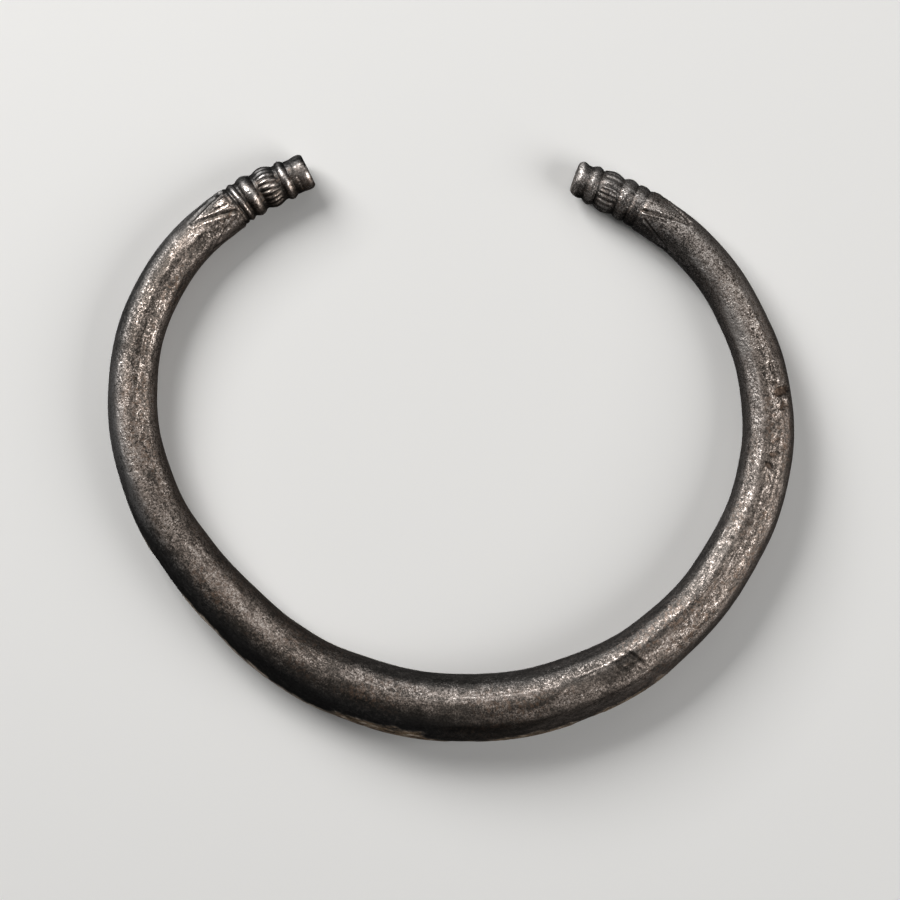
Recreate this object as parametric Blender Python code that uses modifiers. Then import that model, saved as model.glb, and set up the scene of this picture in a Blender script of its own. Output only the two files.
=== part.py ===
"""Silver bracelet: a solid bar bent into an open hoop, with moulded and fluted ends.

The bar is turned straight, standing on its left tip, with its length along +Z. Its beads are
fluted and its shoulders engraved while it is straight. It is then bent round its centre line
and laid on its side, and the places it rests on are rubbed flat.

World frame: metres, +Z up, the hoop lying flat with its back towards -Y and its opening
towards +Y. The origin is at the middle of its outline, on the surface it lies on.
"""
import math

import bmesh
import bpy
import numpy as np
from mathutils import Matrix, Vector

MM = 0.001

# --- The hoop -------------------------------------------------------------------------
# Its centre line from above, in mm, from the left tip round the back to the right tip.
CENTRE_LINE = (
    (-15.8, 30.5),
    (-23.8, 26.5),
    (-31.7, 18.2),
    (-35.0, 6.8),
    (-32.9, -4.9),
    (-28.8, -11.9),
    (-23.5, -17.9),
    (-18.5, -22.2),
    (-12.3, -25.6),
    (1.3, -28.4),
    (14.9, -25.7),
    (24.0, -19.9),
    (30.3, -12.1),
    (34.0, -3.0),
    (34.3, 6.0),
    (31.7, 14.3),
    (27.2, 21.1),
    (21.4, 25.8),
    (13.4, 29.6),
)
LINE_STEPS = 24  # straight steps between two points of the centre line

# Radius of the plain bar in mm, every GAUGE_STEP from GAUGE_START along it.
GAUGE_START = 8.4
GAUGE_STEP = 12.0
GAUGES = (2.38, 2.54, 2.68, 2.86, 3.14, 3.42, 3.64, 3.66, 3.46, 3.10, 2.93, 2.80, 2.54, 2.38)
PLAIN_STEP = 3.6  # between two rings of points on the plain bar

# --- The moulded ends -----------------------------------------------------------------
# Each band: start and end in mm from the tip, radius at its edges, radius at its middle and
# the number of steps along it. A middle below the edges makes a hollow.
LEFT_BANDS = (
    (0.12, 1.46, 2.03, 1.98, 2),  # cap, slightly waisted
    (1.52, 2.16, 1.98, 2.03, 2),  # neck
    (2.22, 3.34, 2.00, 2.22, 5),  # ring beside the neck
    (3.54, 5.92, 2.10, 2.34, 7),  # fluted bead
    (6.08, 7.64, 2.18, 2.42, 6),  # large ring
    (7.78, 8.92, 2.20, 2.33, 5),  # narrow ring beside the bar
)
RIGHT_BANDS = (
    (0.12, 1.30, 1.84, 1.92, 2),  # cap
    (1.60, 2.78, 1.98, 2.16, 5),  # ring beside the cap
    (2.96, 5.16, 2.08, 2.33, 7),  # fluted bead
    (5.34, 6.74, 2.16, 2.34, 5),  # large ring
    (6.88, 8.02, 2.22, 2.31, 4),  # narrow ring beside the bar
)
LEFT_BEAD = LEFT_BANDS[3]
RIGHT_BEAD = RIGHT_BANDS[2]
TIP_EDGE = 0.12  # bevel round the flat face of a tip
SHOULDER_GAP = 0.3  # from the last ring to the full thickness of the bar
RIGHT_TIP_SLANT = 0.2  # the right tip reaches this much further on its outer side

FLUTES = 20
FLUTE_DEPTH = 0.16
SIDES = 2 * FLUTES  # one side for each slope of a flute

# --- The engraved shoulders ------------------------------------------------------------
# Long triangles cut with a graver. Each stroke: its angle at the rings and its angle at the
# far end, in degrees from the top of the bar towards the outside of the hoop.
LEFT_STROKES = (
    (44, 36), (-9, 34), (-16, -60), (-72, -62),
    (84, 124), (136, 126), (176, 214), (228, 216),
)
RIGHT_STROKES = (
    (-7, 38), (80, 40), (-11, -59), (-104, -61),
    (84, 130), (170, 132), (174, 212), (252, 214),
)
LEFT_REACH = 4.1
RIGHT_REACH = 4.9
STROKE_START = 0.25  # from the last ring
STROKE_RADIUS = 0.15  # of the square bar that cuts a stroke, corner down
STROKE_POINTS = 5
STROKE_TAPER = 0.5  # size of the cut at its far end

# --- Lying down ------------------------------------------------------------------------
BACK_RADIUS = max(GAUGES)  # the back of the hoop, one of the places it rests on
REST_RADIUS = LEFT_BANDS[4][3]  # crest of the large left ring, the other place
REST_SPAN = 55.0  # between those two places, along Y
WORN = 0.1  # rubbed off the underside where it rests

SILVER = (0.30, 0.28, 0.26, 1.0)


def fresh_scene():
    """An empty scene with one collection for the bracelet and one for guides and cutters."""
    for thing in list(bpy.data.objects):
        bpy.data.objects.remove(thing)
    made = []
    for name in ("bracelet", "guides_and_cutters"):
        collection = bpy.data.collections.new(name)
        bpy.context.scene.collection.children.link(collection)
        made.append(collection)
    return made


def as_guide(thing):
    """Keeps a guide or cutter out of the finished model."""
    thing.hide_render = True
    thing.display_type = "WIRE"


def evaluated_mesh(thing):
    """The mesh of an object with its modifiers applied."""
    graph = bpy.context.evaluated_depsgraph_get()
    graph.update()
    return bpy.data.meshes.new_from_object(thing.evaluated_get(graph))


def plain_radius(distance):
    """Radius of the plain bar at a distance along it, on a smooth curve through the gauges."""
    place = (distance - GAUGE_START) / GAUGE_STEP
    first = min(max(int(place), 0), len(GAUGES) - 2)
    t = place - first
    before, a, b, after = (
        GAUGES[min(max(i, 0), len(GAUGES) - 1)] for i in range(first - 1, first + 3)
    )
    straight = a + (b - a) * t
    bend_a = (b - before) / 2 - (b - a)
    bend_b = (after - a) / 2 - (b - a)
    return straight + t * (1 - t) * ((1 - t) * bend_a - t * bend_b)


def guide_line(guides):
    """The centre line of the hoop, as a curve in the XY plane."""
    line = bpy.data.curves.new("centre_line", "CURVE")
    line.dimensions = "2D"
    line.resolution_u = LINE_STEPS
    spline = line.splines.new("BEZIER")
    spline.bezier_points.add(len(CENTRE_LINE) - 1)
    for point, (x, y) in zip(spline.bezier_points, CENTRE_LINE):
        point.co = (x * MM, y * MM, 0)
        point.handle_left_type = "AUTO"
        point.handle_right_type = "AUTO"
    guide = bpy.data.objects.new("centre_line", line)
    guides.objects.link(guide)
    as_guide(guide)
    return guide, spline.calc_length() / MM


def band_profile(bands):
    """Points (distance from the tip, radius) of a moulded end, from the centre of its tip."""
    points = [(0.0, 0.0), (0.0, bands[0][2] - TIP_EDGE)]
    for start, end, edge, middle, steps in bands:
        for i in range(steps + 1):
            t = i / steps
            points.append((start + (end - start) * t, edge + (middle - edge) * math.sin(math.pi * t)))
    return points


def bar_profile(length):
    """Points (distance along the bar, radius) from the left tip to the right tip."""
    left = band_profile(LEFT_BANDS)
    right = [(length - d, r) for d, r in reversed(band_profile(RIGHT_BANDS))]
    start = left[-1][0] + SHOULDER_GAP
    end = right[0][0] - SHOULDER_GAP
    count = round((end - start) / PLAIN_STEP)
    plain = [
        (start + (end - start) * i / count, plain_radius(start + (end - start) * i / count))
        for i in range(count + 1)
    ]
    return left + plain + right


def turned_bar(profile, guides):
    """The straight bar as a mesh, turned from its profile about Z."""
    mesh = bpy.data.meshes.new("bar_profile")
    points = [(radius * MM, 0, distance * MM) for distance, radius in reversed(profile)]
    mesh.from_pydata(points, [(i, i + 1) for i in range(len(points) - 1)], [])
    thing = bpy.data.objects.new("bar_profile", mesh)
    guides.objects.link(thing)
    screw = thing.modifiers.new("turn", "SCREW")
    screw.steps = SIDES
    screw.render_steps = SIDES
    screw.use_merge_vertices = True
    screw.merge_threshold = 0.00001
    turned = evaluated_mesh(thing)
    bpy.data.objects.remove(thing)
    return turned


def flute_bead(mesh, start, end):
    """Cuts the flutes of a bead, from start to end in mm along the bar, fading at both ends."""
    for vertex in mesh.vertices:
        x, y, z = vertex.co
        t = (z / MM - start) / (end - start)
        if not 0 < t < 1:
            continue
        wave = (1 - math.cos(FLUTES * math.atan2(y, x))) / 2
        radius = math.hypot(x, y)
        cut = radius - FLUTE_DEPTH * MM * wave * math.sin(math.pi * t)
        vertex.co.x = x * cut / radius
        vertex.co.y = y * cut / radius


def slant_tip(mesh, length, face_start):
    """Slants the face of the right tip: the outside of the hoop is on the bar's -X side."""
    for vertex in mesh.vertices:
        if vertex.co.z / MM > length - face_start:
            vertex.co.z -= RIGHT_TIP_SLANT * vertex.co.x / RIGHT_BANDS[0][2]


def engraved_stroke(name, path, guides):
    """A cutter for one engraved stroke: a square bar, corner down, tapering along its path."""
    line = bpy.data.curves.new(name, "CURVE")
    line.dimensions = "3D"
    line.bevel_depth = STROKE_RADIUS * MM
    line.bevel_resolution = 0
    line.use_fill_caps = True
    spline = line.splines.new("POLY")
    spline.points.add(len(path) - 1)
    for i, (point, place) in enumerate(zip(spline.points, path)):
        point.co = (*place, 1)
        point.radius = 1 - (1 - STROKE_TAPER) * i / (len(path) - 1)
    thing = bpy.data.objects.new(name, line)
    guides.objects.link(thing)
    mesh = evaluated_mesh(thing)
    bpy.data.objects.remove(thing)
    form = bmesh.new()
    form.from_mesh(mesh)
    bmesh.ops.remove_doubles(form, verts=form.verts, dist=0.000001)
    bmesh.ops.recalc_face_normals(form, faces=form.faces)
    form.to_mesh(mesh)
    form.free()
    return mesh


def on_bar(distance, angle):
    """The point on the plain bar at a distance along it and an angle from its top."""
    turn = math.radians(angle)
    radius = plain_radius(distance)
    return Vector((-radius * math.sin(turn), radius * math.cos(turn), distance)) * MM


def shoulder_cutter(name, strokes, from_ring, to_far, guides):
    """All the strokes of one shoulder as one cutter."""
    form = bmesh.new()
    for i, (at_ring, at_far) in enumerate(strokes):
        path = []
        for j in range(STROKE_POINTS):
            t = j / (STROKE_POINTS - 1)
            path.append(on_bar(from_ring + (to_far - from_ring) * t, at_ring + (at_far - at_ring) * t))
        form.from_mesh(engraved_stroke(f"{name}_{i}", path, guides))
    mesh = bpy.data.meshes.new(name)
    form.to_mesh(mesh)
    form.free()
    cutter = bpy.data.objects.new(name, mesh)
    guides.objects.link(cutter)
    as_guide(cutter)
    return cutter


def bend_bar(mesh, cutters, guide, guides):
    """Engraves the straight bar, bends it round its centre line and returns its mesh."""
    bar = bpy.data.objects.new("straight_bar", mesh)
    guides.objects.link(bar)
    for cutter in cutters:
        cut = bar.modifiers.new(cutter.name, "BOOLEAN")
        cut.operation = "DIFFERENCE"
        cut.solver = "EXACT"
        cut.use_self = True
        cut.object = cutter
    bend = bar.modifiers.new("bend", "CURVE")
    bend.object = guide
    bend.deform_axis = "POS_Z"
    bent = evaluated_mesh(bar)
    bpy.data.objects.remove(bar)
    return bent


def lay_down(mesh):
    """Lays the hoop on its underside, centred on the origin, and rubs flat what it rests on."""
    tilt = math.asin((BACK_RADIUS - REST_RADIUS) / REST_SPAN)
    mesh.transform(Matrix.Rotation(-tilt, 4, "X"))
    places = np.array([vertex.co[:] for vertex in mesh.vertices])
    low = places.min(axis=0)
    middle = (low + places.max(axis=0)) / 2
    mesh.transform(Matrix.Translation((-middle[0], -middle[1], -low[2] - WORN * MM)))
    for vertex in mesh.vertices:
        vertex.co.z = max(vertex.co.z, 0.0)


def silver():
    """Old silver, dark in its tarnish and bright where it is worn."""
    material = bpy.data.materials.new("silver")
    material.use_nodes = True
    shader = material.node_tree.nodes["Principled BSDF"]
    shader.inputs["Base Color"].default_value = SILVER
    shader.inputs["Metallic"].default_value = 1.0
    shader.inputs["Roughness"].default_value = 0.42
    material.diffuse_color = SILVER
    return material


def bracelet():
    """Makes the bracelet, its one piece, from the straight bar to the finished hoop."""
    parts, guides = fresh_scene()
    guide, length = guide_line(guides)
    mesh = turned_bar(bar_profile(length), guides)
    flute_bead(mesh, *LEFT_BEAD[:2])
    flute_bead(mesh, length - RIGHT_BEAD[1], length - RIGHT_BEAD[0])
    slant_tip(mesh, length, RIGHT_BANDS[1][0])

    left_ring = LEFT_BANDS[-1][1] + STROKE_START
    right_ring = length - RIGHT_BANDS[-1][1] - STROKE_START
    cutters = [
        shoulder_cutter("left_strokes", LEFT_STROKES, left_ring, left_ring + LEFT_REACH, guides),
        shoulder_cutter("right_strokes", RIGHT_STROKES, right_ring, right_ring - RIGHT_REACH, guides),
    ]
    bent = bend_bar(mesh, cutters, guide, guides)
    lay_down(bent)
    bent.materials.clear()
    bent.materials.append(silver())
    bent.shade_smooth()
    bent.set_sharp_from_angle(angle=math.radians(35))
    thing = bpy.data.objects.new("bracelet", bent)
    parts.objects.link(thing)


bracelet()
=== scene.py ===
"""Silver bracelet: a solid bar of old silver bent into an open hoop, with moulded ends.

The hoop is one piece. A tree of geometry nodes works the bar as a silversmith would: a net of
points is laid round a straight bar, the beads and rings are turned, the flutes and shoulder
strokes are cut, the wear of use is added, and the bar is bent round its centre line and laid on
its side. Distances along the bar are in millimetres from the left tip, and angles round it are
in degrees from its top towards the outside of the hoop.
"""
import math

import bpy
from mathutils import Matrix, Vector


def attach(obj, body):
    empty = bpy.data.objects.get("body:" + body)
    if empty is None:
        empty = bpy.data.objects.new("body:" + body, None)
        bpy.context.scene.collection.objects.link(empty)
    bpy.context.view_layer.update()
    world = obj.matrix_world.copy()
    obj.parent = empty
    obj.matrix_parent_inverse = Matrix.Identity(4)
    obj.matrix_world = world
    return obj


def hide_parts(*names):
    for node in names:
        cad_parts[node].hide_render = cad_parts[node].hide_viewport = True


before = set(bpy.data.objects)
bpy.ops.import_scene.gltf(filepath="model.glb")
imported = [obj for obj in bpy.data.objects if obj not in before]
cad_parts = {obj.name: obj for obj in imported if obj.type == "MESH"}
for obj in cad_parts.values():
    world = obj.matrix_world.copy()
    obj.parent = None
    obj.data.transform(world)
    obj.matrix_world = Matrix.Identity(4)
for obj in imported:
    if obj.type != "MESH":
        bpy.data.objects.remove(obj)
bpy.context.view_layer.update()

MM = 0.001

# --- The hoop, as the solid has it ------------------------------------------------------
CENTRE_LINE = (
    (-15.8, 30.5),
    (-23.8, 26.5),
    (-31.7, 18.2),
    (-35.0, 6.8),
    (-32.9, -4.9),
    (-28.8, -11.9),
    (-23.5, -17.9),
    (-18.5, -22.2),
    (-12.3, -25.6),
    (1.3, -28.4),
    (14.9, -25.7),
    (24.0, -19.9),
    (30.3, -12.1),
    (34.0, -3.0),
    (34.3, 6.0),
    (31.7, 14.3),
    (27.2, 21.1),
    (21.4, 25.8),
    (13.46, 29.75),
)
LINE_STEPS = 24
GAUGE_START = 8.4
GAUGE_STEP = 12.0
GAUGES = (2.38, 2.54, 2.68, 2.86, 3.14, 3.42, 3.64, 3.66, 3.46, 3.10, 2.93, 2.80, 2.54, 2.38)
THICKEST = 4.0  # above every radius, the scale of the gauge curve

# Lying down: turned about X, then moved so that its outline is centred and it rests on z = 0.
BACK_RADIUS = 3.66
END_RADIUS = 2.42
REST_SPAN = 55.0  # between the places it rests on
TILT = math.asin((BACK_RADIUS - END_RADIUS) / REST_SPAN)
LAID_DOWN = (0.156, -0.0954, 2.9428)

# --- The moulded ends --------------------------------------------------------------------
# Each band: start and end from the tip, radius at its edges and radius at its middle.
LEFT_BANDS = (
    (-0.20, 1.46, 1.93, 2.03),  # cap
    (1.50, 2.10, 1.95, 1.96),  # neck
    (2.24, 3.30, 1.98, 2.24),  # ring beside the neck
    (3.60, 5.88, 2.00, 2.39),  # fluted bead
    (6.10, 7.56, 2.14, 2.44),  # large ring
    (7.80, 8.56, 2.16, 2.36),  # narrow ring
    (8.78, 9.22, 2.26, 2.31),  # flat collar beside the bar
)
RIGHT_BANDS = (
    (-0.15, 1.45, 1.74, 1.95),  # cap
    (1.64, 2.74, 1.96, 2.17),  # ring beside the cap
    (2.96, 5.12, 2.06, 2.34),  # fluted bead
    (5.36, 6.70, 2.14, 2.35),  # large ring
    (6.90, 7.98, 2.22, 2.32),  # narrow ring beside the bar
)
LEFT_BEAD = (LEFT_BANDS[3], 1, -3)  # band, share of the flutes' depth, angle of the broad lobe
RIGHT_BEAD = (RIGHT_BANDS[2], 0.75, 24)
LEFT_SHOULDER = 9.15
RIGHT_SHOULDER = 8.25
LEFT_TIP = 1.76  # radius of the flat face
RIGHT_TIP = 1.62
FLUTES = 22
UNEVEN_FLUTES = ((3, 0.6, 0.05), (7, 0, 0.02))  # waves round the bead, shift and amount
LOBE_WIDENING = 0.45
LOBE_NARROWNESS = 14.0
BAND_FALL = 1.6  # slope of a ring outside its own band
LEFT_SKEW = 0.13  # how far the rings stand askew
RIGHT_SKEW = 0.12
LEFT_SIZE = (2.04, 2.36)  # worn radius at the tip and at the shoulder
RIGHT_SIZE = (1.94, 2.34)
ACROSS_THE_BACK = (60, 100)  # from the left end's sizes to the right end's
SHOULDER_ROUND = 0.4
SHOULDER_FALL = 0.6
SHOULDER_FADE = 2.0

# How forms meet: the width over which one runs into the other.
CRISP = 0.05
RUBBED = 0.17
BODY_BLEND = 0.08
FLOOR_BLEND = 0.04
FACET_BLEND = 0.01
TIP_ROUNDING = 0.3
RING_RELIEF = 0.12  # the most that counts as standing up, on the rings and on the bar
BAR_RELIEF = 0.06

# The graver: where its burr stands and how wide it is, in widths of the groove, and its height.
BURR_AT = 1.3
BURR_WIDTH = 0.7
BURR_HEIGHT = 0.36
STROKE_GAP = 0.05  # between the last ring and the strokes
CUT_TAPER = 0.3
CUTS_END = (-0.15, 0.1)

# The hammer.
FACET_RUN_OUT = 5.0
FACET_SOFTNESS = 0.03
STEEPEST_FACET = 0.2
SKIN_ON_RINGS = 0.3  # share of the hammered skin's unevenness that the rings have
LUMPS_ON_RINGS = 2.0

# The tips: slant of the right one, and the low dome and marks of both faces.
SLANT_FADE = (1.2, 1.6, 1, 0)
TIP_FACE = (-0.3, 0.05)
DOME_RADIUS = 1.7
DOME_HEIGHT = 0.2
FACE_DEPTH = 0.16

# Noises: stretch along the bar, where less than 1 draws them out, scale, detail and roughness.
LOOSE_EDGE = (1, 1.3, 3, 0.6)
HAMMER_MARKS = (0.35, 0.36, 1, 0.5)
UNEVEN_SKIN = (0.6, 1, 2, 0.55)
PITS = (0.7, 1.9, 3, 0.6)
GRAIN_EDGE = (0.4, 0.8, 4, 0.7)
CRUST_EDGE = (0.5, 0.7, 4, 0.65)
CRUST_RAGS = (0.4, 2.2, 3, 0.7)
CRUST_SPOTS = (0.35, 0.5, 2, 0.5)
CRUST_GRAIN = (0.5, 1.8, 3, 0.6)
RING_LUMPS = (1, 0.9, 2, 0.5)
FACE_MARKS = (0, 0.8, 3, 0.6)
PIT_FADE = (0.42, 0.30)
ELSEWHERE = 40.0  # far enough away for noise of its own
LOOSE_REACH = 0.9  # how ragged dents and patches are, in mm and radians
LOOSE_TURN = 0.3

# Where the grain has kept. Edges: start and end along the bar, and the angles in degrees there.
GRAIN_RAGGED = 60.0
GRAIN_INNER = (30, 70, -60, -50)
GRAIN_INNER_RIGHT = (144, 158, 0, 22)
GRAIN_OUTER = ((40, 80, 42, 10), (88, 112, 0, 30), (148, 158, 0, 10))
GRAIN_INNER_FADE = (-18, 18)
GRAIN_OUTER_FADE = (-22, 22, 1, 0)
GRAIN_UNDERNEATH = (120, 140, 0, 0.6)
STRIPE_ANGLE = -9.0  # a stripe worn smooth along the right side
STRIPE_FADE = (3, 12, 0.55, 0)
STRIPE_ZONE = ((90, 96), (145, 152))
SMOOTH_PATCH = (104.4, -2, 2.2, 1.2, 4, 0.3)
SMOOTH_SHARE = 0.7
SMOOTH_STRUCK = (138.9, 45, 1.7, 1, 0, 0.3)
RIDGE_ANGLE = -18.0  # bright ridges between the facets at the back
RIDGE_SIDES = (10, 22, 1, 0)
RIDGE_FADE = (0, 0.02, 0.45, 0)
RIDGES_FROM = (84, 92)

# The crust of burial: its stretches along the bar, and its edges in degrees.
CRUST_ZONE = ((47, 50), (109, 112))
CRUST_BROAD_ZONE = ((74, 75.5), (83.8, 85))
CRUST_BIT_ZONES = (((90.5, 91.5), (99, 100)), ((104, 105), (109, 110)))
CRUST_BIT_SHARE = 0.9
CRUST_RAGGED = 50.0
CRUST_FRAYED = 26.0
CRUST_UPPER_EDGE = 67.0
CRUST_BROADER = 13.0
CRUST_UPPER_FADE = (0, 6)
CRUST_LOWER_FADE = (88, 100, 1, 0)
CRUST_SPOT_FADE = (0.42, 0.5)

# The net of points, and the map of the skin laid flat.
SIDES = 92
CROWDING = 0.4  # how much closer the points are on top than underneath
SAME_POINT = 0.001
TABLE_TOP = (-1, -1, 0)  # nothing goes lower than the last of these, in metres
UV_ROWS = 3
UV_EDGE = 0.01


class Term:
    """A socket used in ordinary arithmetic: each operation adds its Math or Vector Math node."""

    def __init__(self, tree, socket):
        self.tree = tree
        self.socket = socket

    def __add__(self, other):
        return self.tree.math("ADD", self, other)

    def __radd__(self, other):
        return self.tree.math("ADD", other, self)

    def __sub__(self, other):
        return self.tree.math("SUBTRACT", self, other)

    def __rsub__(self, other):
        return self.tree.math("SUBTRACT", other, self)

    def __mul__(self, other):
        return self.tree.math("MULTIPLY", self, other)

    def __rmul__(self, other):
        return self.tree.math("MULTIPLY", other, self)

    def __truediv__(self, other):
        return self.tree.math("DIVIDE", self, other)

    def __rtruediv__(self, other):
        return self.tree.math("DIVIDE", other, self)

    def __pow__(self, other):
        return self.tree.math("POWER", self, other)

    def __neg__(self):
        return self.tree.math("MULTIPLY", self, -1.0)

    def is_vector(self):
        return self.socket.type == "VECTOR"


class Tree:
    """A tree of nodes under construction, for geometry or for a material."""

    def __init__(self, tree):
        self.tree = tree

    def node(self, kind, settings=None, sockets=None, output=None):
        """Adds a node: its type, its settings, and the values or links of its sockets.

        Gives the named output, or the first one in use.
        """
        node = self.tree.nodes.new(kind)
        for name, value in (settings or {}).items():
            if name == "stops":
                set_stops(node.color_ramp.elements, value)
            elif name == "points":
                set_points(node.mapping, value)
            else:
                setattr(node, name, value)
        for name, value in (sockets or {}).items():
            socket = used_socket(node.inputs, name)
            if isinstance(value, Term):
                self.tree.links.new(value.socket, socket)
            else:
                socket.default_value = value
        if isinstance(output, tuple):
            return [Term(self, used_socket(node.outputs, name)) for name in output]
        if len(node.outputs) == 0:
            return node
        return Term(self, used_socket(node.outputs, output))

    def math(self, operation, *terms):
        """A Math node, or a Vector Math node when a term is a vector."""
        kind = "ShaderNodeMath"
        if any(isinstance(term, Term) and term.is_vector() for term in terms):
            kind = "ShaderNodeVectorMath"
            terms = [term if isinstance(term, (Term, tuple)) else (term,) * 3 for term in terms]
        return self.node(kind, {"operation": operation}, dict(enumerate(terms)))


def used_socket(sockets, name):
    """The socket at an index, or the first one in use that has the name, or any name for None."""
    if isinstance(name, int):
        return sockets[name]
    for socket in sockets:
        if socket.enabled and name in (None, socket.name):
            return socket
    raise KeyError(name)


def set_stops(elements, stops):
    """Sets a colour ramp's stops: position and grey or colour."""
    while len(elements) < len(stops):
        elements.new(1.0)
    for element, (position, colour) in zip(elements, stops):
        element.position = position
        element.color = (*colour, 1.0) if isinstance(colour, tuple) else (colour,) * 3 + (1.0,)


def set_points(mapping, points):
    """Sets the points of a curve from 0 to 1, straight between them."""
    curve = mapping.curves[0]
    while len(curve.points) < len(points):
        curve.points.new(0.5, 0.5)
    for point, place in zip(curve.points, points):
        point.location = place
        point.handle_type = "VECTOR"
    mapping.update()


# --- Terms used by the trees ---------------------------------------------------------------
def sine(term):
    return term.tree.math("SINE", term)


def cosine(term):
    return term.tree.math("COSINE", term)


def size_of(term):
    """A number without its sign."""
    return term.tree.math("ABSOLUTE", term)


def least(a, b):
    return a.tree.math("MINIMUM", a, b)


def most(a, b):
    return a.tree.math("MAXIMUM", a, b)


def soft_least(a, b, blend):
    return a.tree.math("SMOOTH_MIN", a, b, blend)


def soft_most(a, b, blend):
    return a.tree.math("SMOOTH_MAX", a, b, blend)


def ramp(term, start, end, low=0.0, high=1.0, shape="LINEAR"):
    """From low at start to high at end, and level outside."""
    sockets = {"Value": term, "From Min": start, "From Max": end, "To Min": low, "To Max": high}
    return term.tree.node("ShaderNodeMapRange", {"interpolation_type": shape}, sockets)


def ease(term, start, end, low=0.0, high=1.0):
    """A ramp that starts and ends softly."""
    return ramp(term, start, end, low, high, "SMOOTHSTEP")


def stretch(term, rise, fall):
    """1 along a stretch, and 0 on both sides of it."""
    return ease(term, *rise) * ease(term, *fall, 1.0, 0.0)


def noise(place, kind):
    """Noise from 0 to 1 at a place, of one of the named kinds."""
    drawn_out, scale, detail, roughness = kind
    place = place * (1.0, 1.0, drawn_out)
    sockets = {"Vector": place, "Scale": scale, "Detail": detail, "Roughness": roughness}
    return place.tree.node("ShaderNodeTexNoise", {}, sockets, 0)


def wander(place, kind, amount):
    """Noise as plus or minus half an amount."""
    return (noise(place, kind) - 0.5) * amount


def sum_of(terms):
    total = terms[0]
    for term in terms[1:]:
        total = total + term
    return total


def vector(tree, x, y, z):
    return tree.node("ShaderNodeCombineXYZ", {}, {"X": x, "Y": y, "Z": z})


# --- The bar, as geometry nodes --------------------------------------------------------------
def plain_radius(distance):
    """Radius of the plain bar at a distance along it, on a smooth curve through the gauges."""
    place = (distance - GAUGE_START) / GAUGE_STEP
    first = min(max(int(place), 0), len(GAUGES) - 2)
    t = place - first
    before, a, b, after = (
        GAUGES[min(max(i, 0), len(GAUGES) - 1)] for i in range(first - 1, first + 3)
    )
    straight = a + (b - a) * t
    bend_a = (b - before) / 2 - (b - a)
    bend_b = (after - a) / 2 - (b - a)
    return straight + t * (1 - t) * ((1 - t) * bend_a - t * bend_b)


def gauge_points(length):
    """The plain bar's radius along its whole length, as points from 0 to 1."""
    count = 60
    return [(i / count, plain_radius(length * i / count) / THICKEST) for i in range(count + 1)]


# Steps of the net along the bar: length in mm and number of steps. The tips come first and last.
STRETCHES = (
    (LEFT_TIP, 7),
    (9.4, 150),
    (4.8, 60),
    (89.8, 345),
    (5.6, 60),
    (22.2, 85),
    (4.6, 36),
    (3.0, 12),
    (4.2, 46),
    (17.8, 62),
    (5.9, 60),
    (8.218, 130),
    (RIGHT_TIP, 7),
)
LENGTH = sum(length for length, steps in STRETCHES) - LEFT_TIP - RIGHT_TIP
STATIONS = sum(steps for length, steps in STRETCHES) + 1


def net_of_points(tree, size):
    """A flat net with one row for each station, and where its points go on the bar."""
    sockets = {"Size X": 1.0, "Size Y": 1.0, "Vertices X": size["Stations"], "Vertices Y": size["Sides"]}
    net = tree.node("GeometryNodeMeshGrid", {}, sockets, "Mesh")
    position = tree.node("GeometryNodeInputPosition")
    x, y = tree.node("ShaderNodeSeparateXYZ", {}, {"Vector": position}, ("X", "Y"))
    station = (x + 0.5) * (STATIONS - 1)
    reach = None
    first = 0
    for length, steps in STRETCHES:
        part = ramp(station, first, first + steps, 0.0, length)
        reach = part if reach is None else reach + part
        first += steps
    even = y * math.tau
    turn = even - sine(even) * CROWDING
    return net, reach - LEFT_TIP, turn, y + 0.5


def group_of_terms(name, inputs, build):
    """A node group of numbers: build takes the inputs as terms and gives the one that comes out."""
    group = bpy.data.node_groups.new(name, "GeometryNodeTree")
    for label in inputs:
        group.interface.new_socket(name=label, in_out="INPUT", socket_type="NodeSocketFloat")
    group.interface.new_socket(name="Result", in_out="OUTPUT", socket_type="NodeSocketFloat")
    tree = Tree(group)
    terms = tree.node("NodeGroupInput", {}, {}, inputs)
    tree.node("NodeGroupOutput", {}, {"Result": build(*terms)})
    return group


def aside(turn, angle, gauge):
    """Distance round the bar from an angle, the short way."""
    return turn.tree.math("WRAP", turn - angle, math.pi, -math.pi) * gauge


def turned_band(distance, start, end, edge, middle):
    """Radius of a turned band, which falls away steeply at its edges."""
    across = ramp(distance, start, end, 0.0, math.pi)
    outside = most(most(start - distance, distance - end), 0.0)
    return sine(across) * (middle - edge) + edge - outside * BAND_FALL


def graver_stroke(reach, turn, gauge, start, start_angle, end, end_angle, width, taper):
    """A graver's stroke from one place to another: 1 at the bottom of its groove, below 0 on its burr."""
    middle = (start_angle + end_angle) * 0.5
    x = reach - start
    y = aside(turn, middle, gauge) - (start_angle - middle) * gauge
    run = end - start
    rise = (end_angle - start_angle) * gauge
    share = ramp((x * run + y * rise) / (run * run + rise * rise), 0.0, 1.0)
    u = x - share * run
    v = y - share * rise
    off = (u * u + v * v) ** 0.5
    groove = ease(off, 0.0, width, 1.0, 0.0)
    burr = ease(size_of(off - width * BURR_AT), 0.0, width * BURR_WIDTH, BURR_HEIGHT, 0.0)
    return (groove - burr) * (1.0 - share * taper)


def oval(reach, turn, gauge, at, angle, along, across, slant, soft):
    """An oval place on the bar: 1 in its middle and 0 outside."""
    x = reach - at
    y = aside(turn, angle, gauge)
    u = (x * cosine(slant) + y * sine(slant)) / along
    v = (y * cosine(slant) - x * sine(slant)) / across
    return ease(u * u + v * v, soft, 1.0, 1.0, 0.0)


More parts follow.
